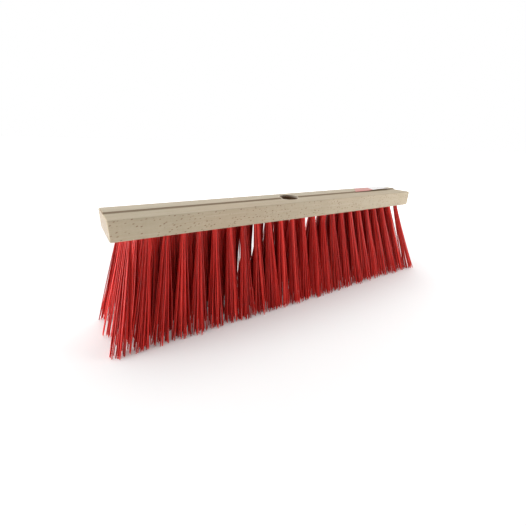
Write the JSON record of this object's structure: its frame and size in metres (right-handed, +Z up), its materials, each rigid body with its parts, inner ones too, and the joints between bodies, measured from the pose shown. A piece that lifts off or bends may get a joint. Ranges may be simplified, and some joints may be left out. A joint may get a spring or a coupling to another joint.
{
  "type": "push broom head",
  "caption": "Push broom head: a flat beech block with a raised ridge and a slanted handle socket, over rows of long red bristle tufts that flare outwards.",
  "frame": {"origin": "centre of the sweeping plane, where the bristle tips touch the floor, under the middle of the block", "axes": "+X along the block's length, +Y from the front face to the back face, +Z up from the bristle tips to the block"},
  "size_m": [0.5538, 0.1098, 0.153],
  "materials": {
    "beech": "planed, unvarnished",
    "red_bristle": "extruded filament, satin gloss",
    "label_paper": "printed film label, satin",
    "staple_wire": "bright drawn wire"
  },
  "bodies": {
    "root": {"block": "beech", "paper_label": "label_paper", "tufts_row1_01": "red_bristle", "tufts_row1_02": "red_bristle", "tufts_row1_03": "red_bristle", "tufts_row1_04": "red_bristle", "tufts_row1_05": "red_bristle", "tufts_row1_06": "red_bristle", "tufts_row1_07": "red_bristle", "tufts_row1_08": "red_bristle", "tufts_row1_09": "red_bristle", "tufts_row1_10": "red_bristle", "tufts_row1_11": "red_bristle", "tufts_row1_12": "red_bristle", "tufts_row2_01": "red_bristle", "tufts_row2_02": "red_bristle", "tufts_row2_03": "red_bristle", "tufts_row2_04": "red_bristle", "tufts_row2_05": "red_bristle", "tufts_row2_06": "red_bristle", "tufts_row2_07": "red_bristle", "tufts_row2_08": "red_bristle", "tufts_row2_09": "red_bristle", "tufts_row2_10": "red_bristle", "tufts_row3_01": "red_bristle", "tufts_row3_02": "red_bristle", "tufts_row3_03": "red_bristle", "tufts_row3_04": "red_bristle", "tufts_row3_05": "red_bristle", "tufts_row3_06": "red_bristle", "tufts_row3_07": "red_bristle", "tufts_row3_08": "red_bristle", "tufts_row3_09": "red_bristle", "tufts_row3_10": "red_bristle", "tufts_row3_11": "red_bristle", "tufts_row3_12": "red_bristle", "tufts_row4_01": "red_bristle", "tufts_row4_02": "red_bristle", "tufts_row4_03": "red_bristle", "tufts_row4_04": "red_bristle", "tufts_row4_05": "red_bristle", "tufts_row4_06": "red_bristle", "tufts_row4_07": "red_bristle", "tufts_row4_08": "red_bristle", "tufts_row4_09": "red_bristle", "tufts_row4_10": "red_bristle", "tufts_row5_01": "red_bristle", "tufts_row5_02": "red_bristle", "tufts_row5_03": "red_bristle", "tufts_row5_04": "red_bristle", "tufts_row5_05": "red_bristle", "tufts_row5_06": "red_bristle", "tufts_row5_07": "red_bristle", "tufts_row5_08": "red_bristle", "tufts_row5_09": "red_bristle", "tufts_row5_10": "red_bristle", "tufts_row5_11": "red_bristle", "tufts_row5_12": "red_bristle"}
  },
  "joints": []
}
